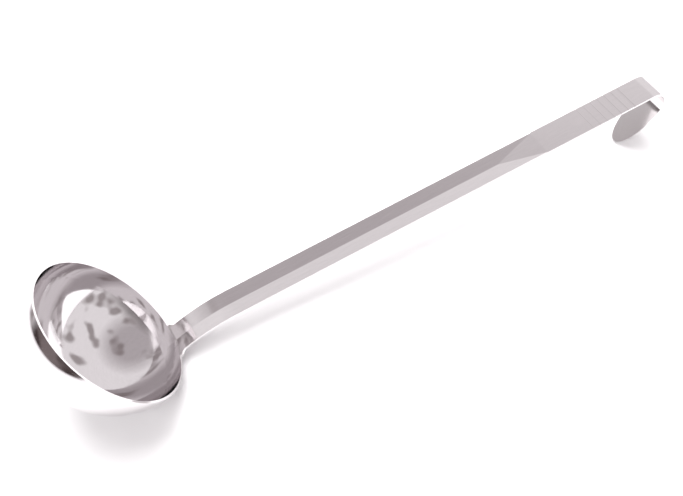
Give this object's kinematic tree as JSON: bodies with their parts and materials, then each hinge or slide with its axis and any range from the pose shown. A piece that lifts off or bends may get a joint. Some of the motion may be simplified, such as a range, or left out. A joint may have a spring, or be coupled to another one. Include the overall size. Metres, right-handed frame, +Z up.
{
  "type": "soup ladle",
  "caption": "Polished steel soup ladle: a deep round bowl welded to a long valley-pressed handle with a grooved flat grip and a hanging hook.",
  "frame": {"origin": "centre of the object's box on the table, the ladle lying on its bowl and the tip of its hook", "axes": "+X from the bowl towards the hook, +Z up off the table, Y across the handle"},
  "size_m": [0.3876, 0.09, 0.0808],
  "materials": {
    "polished_steel": "mirror polished",
    "weld_steel": "ground and polished weld"
  },
  "bodies": {
    "root": {"bowl": "polished_steel", "handle": "polished_steel", "neck_weld": "weld_steel"}
  },
  "joints": []
}
